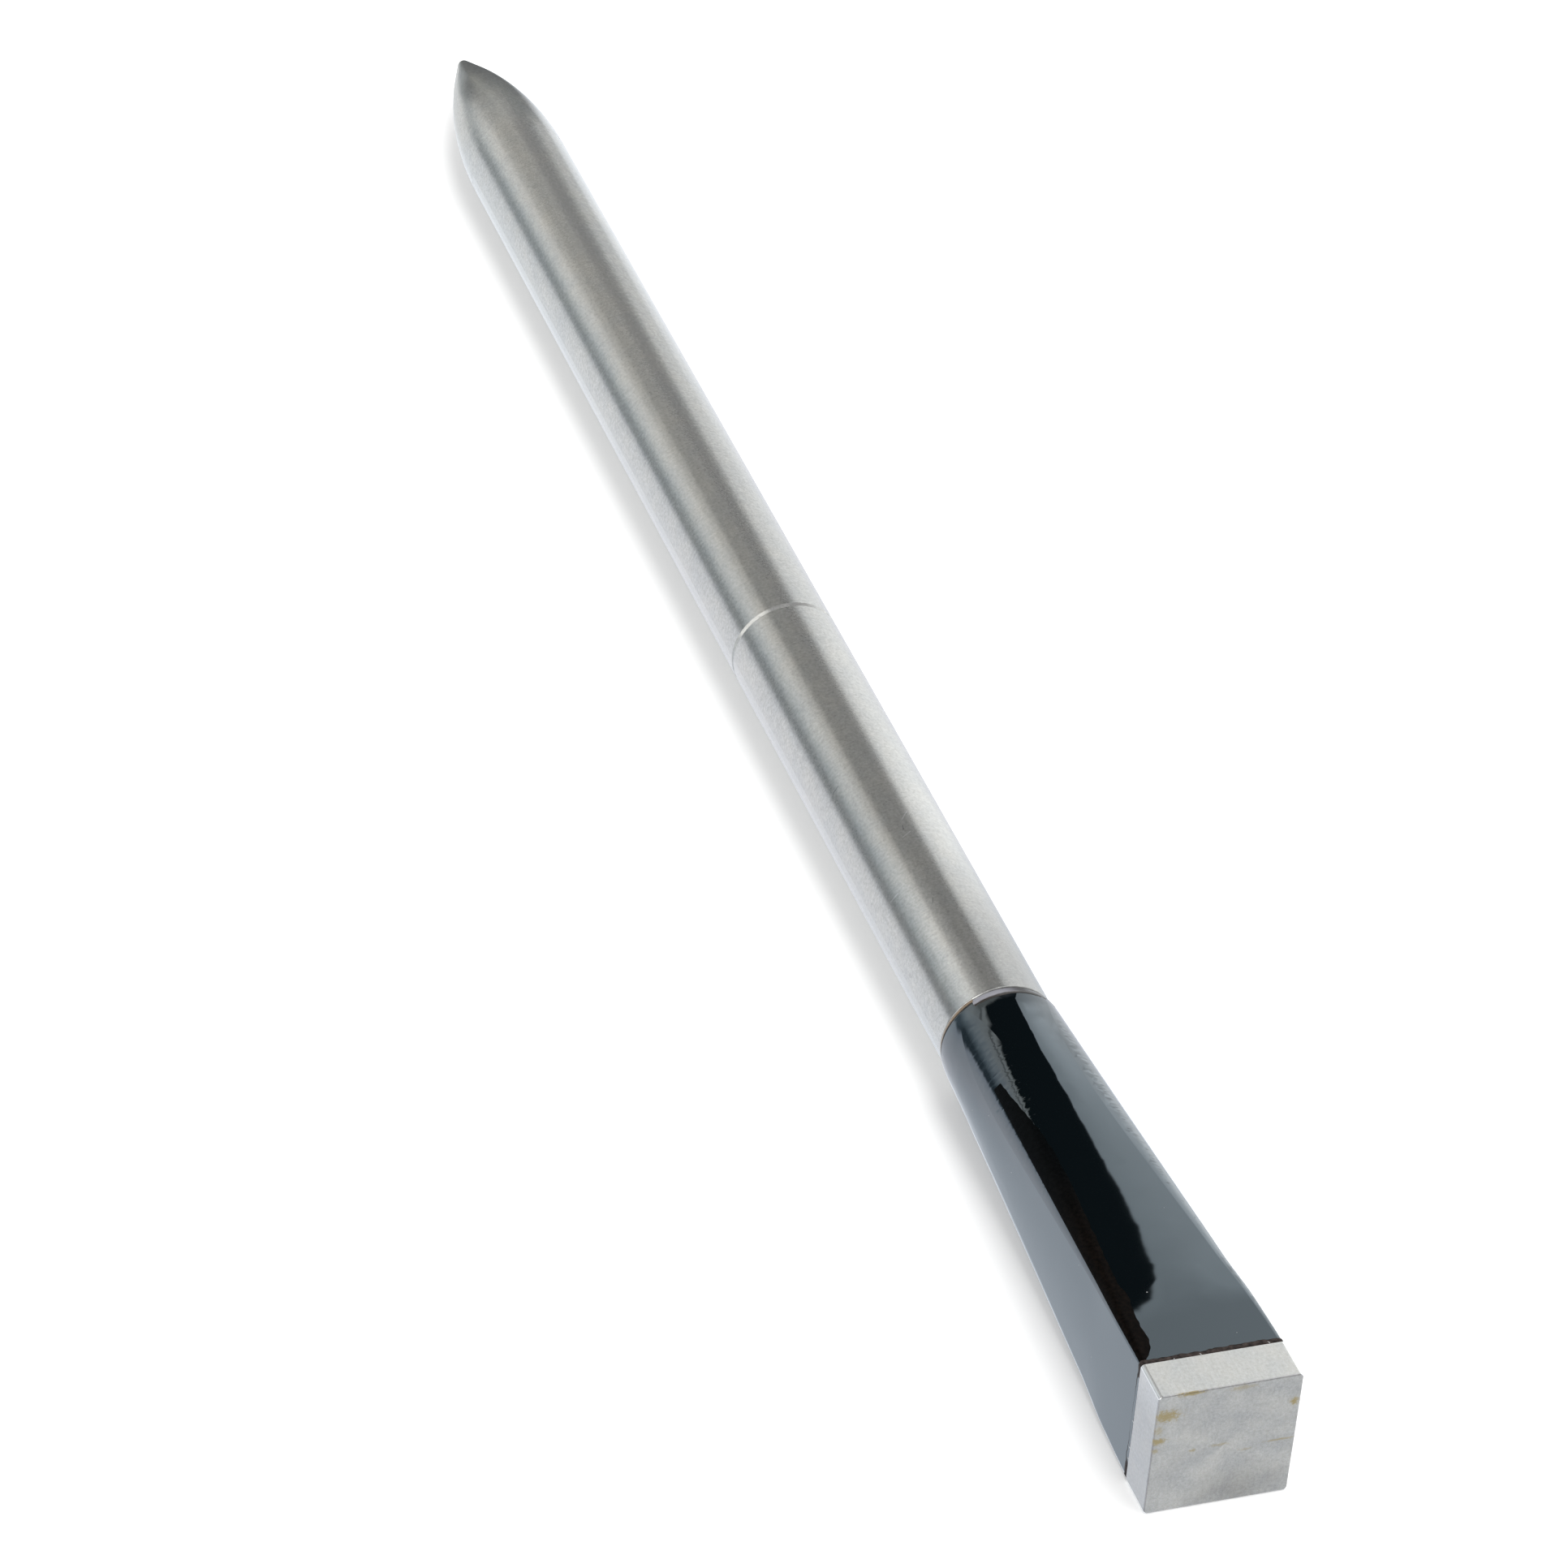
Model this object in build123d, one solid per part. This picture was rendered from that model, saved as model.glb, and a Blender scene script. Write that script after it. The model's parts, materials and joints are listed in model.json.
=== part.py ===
from build123d import *
import math
import os

# Wireless food thermometer probe, millimetres.
# The origin is the centre of the metal cap's flat end face.
# +X runs along the probe towards its point, and +Z is up.

# Driving dimensions: outside shape
overall_length = 130.0
shaft_diameter = 6.0
handle_length = 30.5
cap_thickness = 2.3
cap_side = 7.0
cap_long_edge_round = 0.2
cap_face_edge_round = 0.08
ceramic_rear_side = 6.96
ceramic_front_side = 6.24
ceramic_rear_corner_round = 0.22
ceramic_front_corner_round = 2.87
ceramic_front_crown = 44.5
ceramic_middle_crown = 3.5
ceramic_rear_crown = 0.5
ceramic_crown_fade_start = 6.9
ceramic_crown_fade_end = 3.5
ceramic_easing_length = 9.4
ceramic_section_count = 25
corner_spread_power = 1.2
corner_round_power = 1.35
crown_fade_power = 6.0
ceramic_front_ease_length = 1.2
ceramic_front_ease_depth = 0.06
ceramic_front_end_diameter = 5.9
ceramic_front_bevel_angle = 25.0
insertion_line_from_point = 65.5
insertion_line_width = 0.3
insertion_line_depth = 0.1
tip_nose_radius = 0.4
tip_cone_half_angle = 20.0
tip_shoulder_length = 11.0

# Driving dimensions: tubes, plugs and bores
shaft_wall = 0.4
tube_end_round = 0.08
ceramic_bore_diameter = 2.6
ceramic_spigot_length = 6.0
antenna_diameter = 1.3
antenna_wall = 0.2
antenna_seat_in_cap = 0.6
cap_pocket_depth = 1.6
bulkhead_length = 4.0
liner_wall = 0.12
tip_spigot_length = 4.0
tip_pocket_diameter = 1.6
tip_pocket_from_point = 5.0

# Driving dimensions: sensors and leads
tip_bead_diameter = 1.0
tip_bead_length = 1.6
ambient_bead_diameter = 0.8
ambient_bead_length = 0.6
lead_diameter = 0.16
tip_lead_spacing = 0.5
ambient_lead_spacing = 0.36
tip_lead_lap = 0.9

# Driving dimensions: battery, strips and board
battery_diameter = 3.65
battery_length = 20.0
battery_drop = 0.3
battery_from_bulkhead = 1.9
wrap_wall = 0.08
strip_thickness = 0.12
strip_width = 1.2
strip_foot_length = 1.4
flex_width = 1.4
flex_height = 1.75
flex_hang = 0.4
antenna_stand_out = 0.7
board_length = 24.0
board_thickness = 0.5
board_from_battery = 1.5
board_from_tip_spigot = 2.4
shaft_contact_lap = 1.2
shaft_contact_reach = 1.3

# Driving dimensions: parts on the board, (along, across, tall), placed from its rear end
charger_size = (1.6, 1.6, 0.5)
charger_from_rear = 5.0
radio_size = (2.6, 2.6, 0.6)
radio_from_rear = 8.0
crystal_size = (2.0, 1.6, 0.5)
crystal_from_rear = 12.2
chip_inductor_size = (0.5, 1.0, 0.5)
chip_inductor_pitch = 1.0
first_inductor_from_rear = 15.0
converter_size = (1.8, 1.8, 0.55)
converter_from_rear = 18.6
storage_capacitor_size = (3.2, 1.6, 1.0)
storage_from_rear = 8.0
chip_capacitor_size = (1.0, 0.5, 0.5)
chip_capacitor_across = 1.75

# Named clearances
glue_gap = 0.06
cap_glue_setback = 0.1
tube_glue_setback = 0.2
slide_clearance = 0.02
assembly_gap = 0.1
board_side_clearance = 0.06
spigot_clearance = 0.01

# Radii and stations that follow from the sizes above
shaft_radius = shaft_diameter / 2
shaft_bore_radius = shaft_radius - shaft_wall
tip_angle = math.radians(tip_cone_half_angle)
cone_top_radius = shaft_radius - tip_shoulder_length * math.tan(tip_angle / 2)
nose_tangent_radius = tip_nose_radius * math.cos(tip_angle)
nose_length = tip_nose_radius * (1 - math.sin(tip_angle))
cone_length = (cone_top_radius - nose_tangent_radius) / math.tan(tip_angle)
tip_length = nose_length + cone_length + tip_shoulder_length
tip_base = overall_length - tip_length
tip_spigot_start = tip_base - tip_spigot_length
tip_pocket_end = overall_length - tip_pocket_from_point
insertion_line_station = overall_length - insertion_line_from_point

ceramic_start = cap_thickness + glue_gap
ceramic_end = handle_length - glue_gap
ceramic_length = ceramic_end - ceramic_start
ceramic_spigot_radius = shaft_bore_radius - glue_gap
ceramic_spigot_end = handle_length + ceramic_spigot_length
ceramic_bore_radius = ceramic_bore_diameter / 2

antenna_radius = antenna_diameter / 2
antenna_bore_radius = antenna_radius - antenna_wall
antenna_start = cap_thickness - antenna_seat_in_cap
cap_pocket_start = cap_thickness - cap_pocket_depth
cap_pocket_radius = antenna_radius + slide_clearance
ambient_bead_end = cap_pocket_start + slide_clearance + ambient_bead_length

liner_outer_radius = shaft_bore_radius - slide_clearance
liner_inner_radius = liner_outer_radius - liner_wall
board_end = tip_spigot_start - board_from_tip_spigot
board_start = board_end - board_length
board_top = board_thickness / 2
shaft_contact_start = board_end - shaft_contact_lap
wrap_radius = battery_diameter / 2 + wrap_wall
battery_end = board_start - board_from_battery
battery_start = battery_end - battery_length
bulkhead_end = battery_start - battery_from_bulkhead
bulkhead_start = bulkhead_end - bulkhead_length
antenna_end = bulkhead_end + antenna_stand_out
feed_start = ceramic_spigot_end + assembly_gap
feed_end = bulkhead_start - assembly_gap
liner_start = bulkhead_end + assembly_gap
liner_end = shaft_contact_start - assembly_gap
board_width = 2 * (math.sqrt(liner_inner_radius**2 - board_top**2) - board_side_clearance)


def bar(start, end, radius, across=0.0, up=0.0):
    """Round bar along X."""
    return extrude(Plane.YZ.offset(start) * Pos(across, up) * Circle(radius), amount=end - start)


def sleeve(start, end, outer_radius, inner_radius):
    """Round tube along X."""
    return bar(start, end, outer_radius) - bar(start, end, inner_radius)


def block(start, end, width, bottom, top, across=0.0):
    """Rectangular block between two stations and two heights."""
    centre = Pos((start + end) / 2, across, (bottom + top) / 2)
    return centre * Box(end - start, width, top - bottom)


def mounted(from_rear, size, across=0.0):
    """Part soldered on top of the board."""
    length, width, height = size
    start = board_start + from_rear - length / 2
    return block(start, start + length, width, board_top, board_top + height, across)


def lead_pair(start, end, spacing, up):
    """Two wires side by side along X."""
    left = bar(start, end, lead_diameter / 2, spacing / 2, up)
    right = bar(start, end, lead_diameter / 2, -spacing / 2, up)
    return left + right


def end_cap():
    """Square steel cap with a blind pocket for the antenna tube and the ambient sensor."""
    cap = block(0, cap_thickness, cap_side, -cap_side / 2, cap_side / 2)
    cap = fillet(cap.edges().filter_by(Axis.X), cap_long_edge_round)
    cap = fillet(cap.faces().sort_by(Axis.X)[0].edges(), cap_face_edge_round)
    return cap - bar(cap_pocket_start, cap_thickness, cap_pocket_radius)


def cap_adhesive():
    """Thin glue layer between the steel cap and the ceramic."""
    side = ceramic_rear_side - 2 * cap_glue_setback
    layer = block(cap_thickness, ceramic_start, side, -side / 2, side / 2)
    return layer - bar(cap_thickness, ceramic_start, ceramic_bore_radius)


def corner_offset(side, corner, crown):
    """Distance of a corner round's centre from each middle plane of a crowned square."""
    return (side / 2 - corner) / (1 + math.tan(crown / 2))


def ceramic_section(distance):
    """Cross-section of the grip at a distance from its shaft end.

    It is a square with rounded corners and crowned sides. The crown is the angle that a side has
    turned through at its end. At the shaft it is nearly 45 degrees, so the section is a circle.
    It fades away near the cap, where the sides are flat.
    """
    from_cap = max(0, ceramic_length - distance)
    left = from_cap / ceramic_length
    front_crown = math.radians(ceramic_front_crown)
    middle_crown = math.radians(ceramic_middle_crown)
    rear_crown = math.radians(ceramic_rear_crown)
    front_offset = corner_offset(ceramic_front_side, ceramic_front_corner_round, front_crown)
    rear_offset = corner_offset(ceramic_rear_side, ceramic_rear_corner_round, rear_crown)
    ease = ceramic_front_ease_depth * max(0, 1 - distance / ceramic_front_ease_length) ** 2
    corner_centre = rear_offset - left**corner_spread_power * (rear_offset - front_offset)
    extra_round = ceramic_front_corner_round - ceramic_rear_corner_round
    corner = ceramic_rear_corner_round + left**corner_round_power * extra_round - ease
    crown = middle_crown + left**crown_fade_power * (front_crown - middle_crown)
    half_side = corner_centre * (1 + math.tan(crown / 2)) + corner
    easing = max(0, 1 - from_cap / ceramic_easing_length) ** 2
    half_side -= easing * rear_offset * (math.tan(middle_crown / 2) - math.tan(rear_crown / 2))
    fade_length = ceramic_crown_fade_start - ceramic_crown_fade_end
    faded = min(1, max(0, (ceramic_crown_fade_start - from_cap) / fade_length))
    faded = faded**2 * (3 - 2 * faded)
    crown += faded * (rear_crown - crown)
    corner_centre = (half_side - corner) / (1 + math.tan(crown / 2))
    side_radius = (corner_centre + corner * math.sin(crown)) / math.sin(crown)
    corner_start = (
        corner_centre + corner * math.cos(crown),
        corner_centre + corner * math.sin(crown),
    )
    corner_middle = (corner_centre + corner / math.sqrt(2), corner_centre + corner / math.sqrt(2))
    side_start = (
        half_side - side_radius * (1 - math.cos(crown)),
        -side_radius * math.sin(crown),
    )
    quarter = ThreePointArc(side_start, (half_side, 0), corner_start)
    quarter += ThreePointArc(corner_start, corner_middle, (corner_start[1], corner_start[0]))
    outline = Curve() + [Rot(0, 0, 90 * turn) * quarter for turn in range(4)]
    return Plane.YZ.offset(ceramic_end - distance) * make_face(outline)


def ceramic_front_bevel_cutter():
    """Ring that bevels the grip's shaft end, so that its edge lies just inside the shaft's."""
    end_radius = ceramic_front_end_diameter / 2
    rise = ceramic_front_ease_length * math.tan(math.radians(ceramic_front_bevel_angle))
    outline = Polyline(
        (ceramic_end, end_radius),
        (ceramic_end - ceramic_front_ease_length, end_radius + rise),
        (ceramic_end, end_radius + rise),
        close=True,
    )
    return revolve(make_face(Plane.XZ * outline), axis=Axis.X)


def ceramic_handle():
    """Glossy ceramic grip, round at the shaft and square at the cap, with a spigot and a bore."""
    step = ceramic_length / (ceramic_section_count - 1)
    ease_step = ceramic_front_ease_length / 3
    distances = [0, ease_step, 2 * ease_step, ceramic_front_ease_length]
    distances += [step * count for count in range(2, ceramic_section_count)]
    grip = loft([ceramic_section(distance) for distance in distances])
    grip -= ceramic_front_bevel_cutter()
    grip += bar(ceramic_end, ceramic_spigot_end, ceramic_spigot_radius)
    return grip - bar(ceramic_start, ceramic_spigot_end, ceramic_bore_radius)


def tube_adhesive():
    """Glue around the ceramic spigot, seen as a thin line where the shaft meets the handle."""
    line = sleeve(ceramic_end, handle_length, shaft_radius - tube_glue_setback, ceramic_spigot_radius)
    return line + sleeve(handle_length, ceramic_spigot_end, shaft_bore_radius, ceramic_spigot_radius)


def insertion_line_cutter():
    """Shallow V-shaped ring cut around the shaft."""
    half = insertion_line_width / 2
    bottom = shaft_radius - insertion_line_depth
    outline = Polyline(
        (insertion_line_station - 2 * half, shaft_radius + insertion_line_depth),
        (insertion_line_station, bottom),
        (insertion_line_station + 2 * half, shaft_radius + insertion_line_depth),
        close=True,
    )
    return revolve(make_face(Plane.XZ * outline), axis=Axis.X)


def probe_tube():
    """Steel shaft with the insertion line."""
    tube = bar(handle_length, tip_base, shaft_radius)
    tube = fillet(tube.faces().sort_by(Axis.X)[0].edges(), tube_end_round)
    tube -= insertion_line_cutter()
    return tube - bar(handle_length, tip_base, shaft_bore_radius)


def tip_outline():
    """Half of the point's side view: spigot, long rounded shoulder, cone and blunt nose."""
    shoulder_radius = tip_shoulder_length / math.sin(tip_angle)
    spigot_radius = shaft_bore_radius - spigot_clearance
    shoulder_end = (tip_base + tip_shoulder_length, cone_top_radius)
    shoulder_middle = (
        tip_base + shoulder_radius * math.sin(tip_angle / 2),
        shaft_radius - shoulder_radius * (1 - math.cos(tip_angle / 2)),
    )
    nose_start = (overall_length - nose_length, nose_tangent_radius)
    nose_turn = (math.pi / 2 - tip_angle) / 2
    nose_middle = (
        overall_length - tip_nose_radius * (1 - math.cos(nose_turn)),
        tip_nose_radius * math.sin(nose_turn),
    )
    point = (overall_length, 0)
    outline = Polyline(
        point,
        (tip_spigot_start, 0),
        (tip_spigot_start, spigot_radius),
        (tip_base, spigot_radius),
        (tip_base, shaft_radius),
    )
    outline += ThreePointArc((tip_base, shaft_radius), shoulder_middle, shoulder_end)
    outline += Line(shoulder_end, nose_start)
    outline += ThreePointArc(nose_start, nose_middle, point)
    return outline


def probe_tip():
    """Solid steel point, welded into the shaft and ground flush with it."""
    tip = revolve(make_face(Plane.XZ * tip_outline()), axis=Axis.X)
    return tip - bar(tip_spigot_start, tip_pocket_end, tip_pocket_diameter / 2)


def tip_sensor():
    """Bead that measures the food, at the end of the tip's pocket."""
    end = tip_pocket_end - slide_clearance
    return bar(end - tip_bead_length, end, tip_bead_diameter / 2)


def tip_sensor_leads():
    """Two wires from the bead to the top of the board."""
    start = board_end - tip_lead_lap
    end = tip_pocket_end - slide_clearance - tip_bead_length
    return lead_pair(start, end, tip_lead_spacing, board_top + lead_diameter / 2)


def tip_filler():
    """Heat-conducting filler around the bead and its wires."""
    filler = bar(tip_spigot_start, tip_pocket_end, tip_pocket_diameter / 2)
    return filler - tip_sensor() - tip_sensor_leads()


def ambient_sensor():
    """Bead that measures the oven's air, inside the cap."""
    start = cap_pocket_start + slide_clearance
    return bar(start, ambient_bead_end, ambient_bead_diameter / 2)


def ambient_sensor_leads():
    """Two wires through the antenna tube."""
    return lead_pair(ambient_bead_end, antenna_end, ambient_lead_spacing, 0)


def cap_filler():
    """Heat-conducting filler in the cap's pocket."""
    filler = bar(cap_pocket_start, antenna_start, cap_pocket_radius)
    return filler - ambient_sensor() - ambient_sensor_leads()


def antenna_tube():
    """Brass tube that is the radio antenna and the charging contact of the cap."""
    return sleeve(antenna_start, antenna_end, antenna_radius, antenna_bore_radius)


def handle_insulator():
    """Insulating sleeve between the antenna and the ceramic."""
    outer = ceramic_bore_radius - slide_clearance
    return sleeve(ceramic_start, ceramic_spigot_end, outer, antenna_radius + slide_clearance)


def feed_insulator():
    """Insulator that keeps the antenna in the middle of the shaft."""
    outer = shaft_bore_radius - slide_clearance
    return sleeve(feed_start, feed_end, outer, antenna_radius + slide_clearance)


def rear_bulkhead():
    """Plug that closes the cool chamber behind the battery."""
    outer = shaft_bore_radius - slide_clearance
    return sleeve(bulkhead_start, bulkhead_end, outer, antenna_radius + slide_clearance)


def insulating_liner():
    """Thin tube that keeps the electronics off the steel."""
    return sleeve(liner_start, liner_end, liner_outer_radius, liner_inner_radius)


def rear_flex():
    """Flexible strip from the antenna tube, over the battery, to the top of the board."""
    top = flex_height + strip_thickness
    tab_end = antenna_end + strip_thickness
    foot_start = board_start + 2 * strip_foot_length
    drop_end = foot_start + strip_thickness
    strip = block(antenna_end, tab_end, flex_width, -flex_hang, top)
    strip += block(antenna_end, drop_end, flex_width, flex_height, top)
    strip += block(foot_start, drop_end, flex_width, board_top, top)
    foot_end = drop_end + strip_foot_length / 2
    return strip + block(foot_start, foot_end, flex_width, board_top, board_top + strip_thickness)


def battery_cell():
    """Pin-shaped lithium cell."""
    return bar(battery_start, battery_end, battery_diameter / 2, 0, -battery_drop)


def battery_wrap():
    """Shrink sleeve around the cell."""
    outer = bar(battery_start, battery_end, wrap_radius, 0, -battery_drop)
    return outer - battery_cell()


def battery_positive_tab():
    """Welded nickel strip from the cell's front end to the top of the board."""
    tab_end = battery_end + strip_thickness
    foot_end = board_start + strip_foot_length
    tab = block(battery_end, tab_end, strip_width, -battery_drop - strip_width, board_top)
    foot = block(battery_end, foot_end, strip_width, board_top, board_top + strip_thickness)
    return tab + foot


def battery_negative_tab():
    """Welded nickel strip from the cell's rear end, under the cell, to the bottom of the board."""
    run_top = -battery_drop - wrap_radius
    run_bottom = run_top - strip_thickness
    rise_start = board_start + strip_foot_length
    rise_end = rise_start + strip_thickness
    tab = block(battery_start - strip_thickness, battery_start, strip_width, run_bottom, -battery_drop)
    run = block(battery_start - strip_thickness, rise_end, strip_width, run_bottom, run_top)
    rise = block(rise_start, rise_end, strip_width, run_bottom, -board_top)
    foot_end = rise_end + strip_foot_length / 2
    foot = block(rise_start, foot_end, strip_width, -board_top - strip_thickness, -board_top)
    return tab + run + rise + foot


def circuit_board():
    """Narrow board that carries the electronics."""
    return block(board_start, board_end, board_width, -board_top, board_top)


def radio_chip():
    """Radio and processor in one package."""
    return mounted(radio_from_rear, radio_size)


def clock_crystal():
    """Crystal beside the radio chip."""
    return mounted(crystal_from_rear, crystal_size)


def charge_chip():
    """Chip that charges the cell."""
    return mounted(charger_from_rear, charger_size)


def converter_chip():
    """Chip that reads the two sensors."""
    return mounted(converter_from_rear, converter_size)


def storage_capacitor():
    """Large capacitor under the board that feeds the radio's pulses."""
    return mirror(mounted(storage_from_rear, storage_capacitor_size), about=Plane.XY)


def board_capacitors():
    """Six small capacitors, one on each side of each chip."""
    parts = []
    for from_rear in (charger_from_rear, radio_from_rear, converter_from_rear):
        for side in (-1, 1):
            parts.append(mounted(from_rear, chip_capacitor_size, side * chip_capacitor_across))
    return Compound(children=parts)


def board_inductors():
    """Two small inductors that match the antenna."""
    second_from_rear = first_inductor_from_rear + chip_inductor_pitch
    stations = (first_inductor_from_rear, second_from_rear)
    return Compound(children=[mounted(station, chip_inductor_size) for station in stations])


def shaft_contact_spring():
    """Leaf spring from the board to the bare bore, which makes the shaft the other contact."""
    foot_start = shaft_contact_start
    knee = board_end + assembly_gap
    heel = knee + shaft_contact_reach
    low = -math.sqrt(shaft_bore_radius**2 - (strip_width / 2) ** 2) + slide_clearance
    outline = Polyline(
        (foot_start, -board_top),
        (knee, -board_top),
        (heel, low + strip_thickness),
        (heel + strip_thickness, low),
        (heel, low),
        (knee - strip_thickness, -board_top - strip_thickness),
        (foot_start, -board_top - strip_thickness),
        close=True,
    )
    return extrude(make_face(Plane.XZ * outline), amount=strip_width / 2, both=True)


pieces = [
    end_cap,
    cap_adhesive,
    cap_filler,
    ambient_sensor,
    ambient_sensor_leads,
    ceramic_handle,
    handle_insulator,
    antenna_tube,
    tube_adhesive,
    probe_tube,
    feed_insulator,
    rear_bulkhead,
    insulating_liner,
    rear_flex,
    battery_cell,
    battery_wrap,
    battery_positive_tab,
    battery_negative_tab,
    circuit_board,
    radio_chip,
    clock_crystal,
    charge_chip,
    converter_chip,
    storage_capacitor,
    board_capacitors,
    board_inductors,
    shaft_contact_spring,
    tip_sensor_leads,
    tip_sensor,
    tip_filler,
    probe_tip,
]

os.makedirs("parts", exist_ok=True)
for piece in pieces:
    export_step(piece(), f"parts/{piece.__name__}.step")
print("point length", round(tip_length, 3), "insertion line", round(insertion_line_station, 3))
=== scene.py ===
import json
import math

import bpy
from mathutils import Matrix, Vector, noise
from mathutils.bvhtree import BVHTree


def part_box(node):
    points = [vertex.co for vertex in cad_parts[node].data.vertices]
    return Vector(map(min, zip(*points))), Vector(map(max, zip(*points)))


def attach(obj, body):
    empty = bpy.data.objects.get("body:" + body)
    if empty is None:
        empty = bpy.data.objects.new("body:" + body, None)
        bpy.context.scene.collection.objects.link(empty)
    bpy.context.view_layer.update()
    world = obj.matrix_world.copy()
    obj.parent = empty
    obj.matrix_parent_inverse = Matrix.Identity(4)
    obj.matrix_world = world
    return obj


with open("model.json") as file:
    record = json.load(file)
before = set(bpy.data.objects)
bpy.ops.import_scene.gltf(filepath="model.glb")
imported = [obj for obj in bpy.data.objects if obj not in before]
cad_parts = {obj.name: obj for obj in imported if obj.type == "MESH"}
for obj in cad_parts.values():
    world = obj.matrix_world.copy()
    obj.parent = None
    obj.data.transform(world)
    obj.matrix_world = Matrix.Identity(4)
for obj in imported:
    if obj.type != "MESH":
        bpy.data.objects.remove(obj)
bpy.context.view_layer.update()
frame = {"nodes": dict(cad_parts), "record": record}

# Blender's lengths are metres. The tables below are in millimetres and degrees.
# X runs along the probe towards its point, Y to its left and Z up.
MM = 0.001
cap_low, cap_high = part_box("end_cap")
shaft_low, shaft_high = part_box("probe_tube")
seam_x = cap_high.x / MM
joint_x = shaft_low.x / MM

# Camera, metres and millimetres of lens
CAMERA_PLACE = Vector((-0.1798, 0.0909, 0.1777))
CAMERA_AZIMUTH = math.radians(-20.51)
CAMERA_ELEVATION = math.radians(35.57)
CAMERA_ROLL = math.radians(4.63)
CAMERA_LENS = 135.7

# Marks on the shaft:
# (place along, angle round from +Y, length, width, slant from +X, tone)
SHAFT_MARKS = [
    (45.1, 87.0, 0.75, 0.05, 38.0, 0.75),
    (44.2, 79.7, 0.35, 0.06, 10.0, 0.22),
    (43.6, 79.5, 0.60, 0.05, 60.0, 0.75),
    (49.4, 39.0, 0.50, 0.06, 80.0, 0.20),
    (40.0, 38.7, 0.60, 0.05, 85.0, 0.80),
    (38.2, 70.7, 0.40, 0.05, 20.0, 0.25),
    (33.7, 66.0, 0.30, 0.10, 80.0, 0.80),
]
MARK_STRENGTH = 0.6

# Worn haze with a painted highlight and painted shade on the shaft, from the first place ahead of the
# joint, where it starts, to the second, where it is full. Its tones are (angle round from +Y, tone), and
# 0.5 leaves the steel as it is. They paint the steel lighter towards the upper left and darker over the
# top and towards the right side.
HAZE_AND_SHADING_START = 16.0
HAZE_AND_SHADING_FULL = 2.0
HAZE_AND_SHADING_PLAIN = 0.5
HAZE_AND_SHADING_TONES = [
    (30, 0.5),
    (40, 0.55),
    (46, 0.54),
    (53, 0.65),
    (59, 0.77),
    (65, 0.82),
    (71, 0.67),
    (77, 0.47),
    (84, 0.475),
    (90, 0.33),
    (97, 0.34),
    (106, 0.32),
    (115, 0.275),
    (127, 0.25),
]

# Tarnish on the cap's end face: (place left, place up, width, height, strength)
TARNISH = [
    (3.02, 2.32, 0.64, 0.33, 0.90),
    (3.30, 0.85, 0.42, 0.20, 0.90),
    (1.92, 3.45, 0.60, 0.12, 0.90),
    (-0.55, 3.30, 0.60, 0.14, 0.45),
    (-3.20, 1.96, 0.20, 0.22, 0.95),
    (-2.75, -0.26, 0.75, 0.06, 0.60),
    (1.50, -0.04, 0.16, 0.08, 0.70),
    (0.20, 0.04, 0.42, 0.08, 0.50),
    (-1.10, -0.50, 0.30, 0.07, 0.40),
    (3.30, 1.50, 0.22, 0.25, 0.45),
    (3.35, 0.30, 0.14, 0.14, 0.60),
]
TARNISH_BROWN = (0.34, 0.27, 0.13)
TARNISH_RAGGED = 4.0
TARNISH_OUTSIDE = 3.5
TARNISH_INSIDE = 2.3

# Painted shade on the cap's end face, darkest in a patch low on it: the patch's half sizes and centre,
# across and up
SHADE_PATCH_HALF = (3.2, 1.9)
SHADE_PATCH_CENTRE = (-0.896, -2.85)

# How near the cap's end face, its left side and its long edges their tones are painted: painted shade
# with bloom and tarnish on the end face, painted shade on the left side, a painted highlight on the long
# edges
FACE_DEPTH = 0.1
SIDE_DEPTH = 0.05
EDGE_REACH = 0.16

# Inner edge of the glue smear on the grip's top left edge: (place along, place left)
SMEAR = [
    (2.46, 3.25),
    (2.70, 3.10),
    (2.90, 2.88),
    (3.40, 2.62),
    (3.90, 2.50),
    (4.50, 2.57),
    (5.60, 2.50),
    (6.20, 2.45),
    (6.80, 2.30),
    (8.00, 2.46),
    (9.50, 2.40),
    (11.0, 2.30),
    (13.0, 2.18),
    (15.0, 2.06),
    (17.0, 1.98),
    (18.5, 2.00),
    (20.0, 2.09),
    (22.0, 2.27),
    (24.0, 2.42),
]
SMEAR_ROWS = 200
SMEAR_COLUMNS = 12
SMEAR_RAGGED = 0.04
# Outer edge of the smear: its angle from +Y at the back, how far it turns for each millimetre, and
# the least angle in radians between it and the inner edge
SMEAR_OUTER = 44.5
SMEAR_TURN = 0.28
SMEAR_LEAST = 0.002
# Thickness of the smear at its inner edge, and what it gains in its first columns
SMEAR_FILM = 0.008
SMEAR_GAIN = 0.004
SMEAR_GAIN_COLUMNS = 3
# The smear is brown up to the first place along the probe and black from the second
SMEAR_BROWN = 10.0
SMEAR_BLACK = 18.0

# Glue at the joint. An outline is (place ahead of the joint, distance from the axis) from front to
# back, and its last two points are its ragged edge. A spread is two angles round from +Y.
GLUE_LINE = [
    (0.02, 2.94),
    (0.02, 2.99),
    (-0.05, 3.005),
    (-0.16, 3.05),
    (-0.30, 3.078),
    (-0.32, 3.0),
]
GLUE_LINE_SPREAD = (-45, 58)
GLUE_LINE_RAGGED = 0.04
FILLET = [
    (-0.04, 2.90),
    (-0.04, 2.97),
    (-0.16, 3.03),
    (-0.30, 3.085),
    (-0.46, 3.12),
    (-0.70, 3.14),
    (-0.74, 3.05),
]
FILLET_SPREAD = (57, 172)
FILLET_RAGGED = -0.03
FILLET_RIM = -0.56

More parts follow.
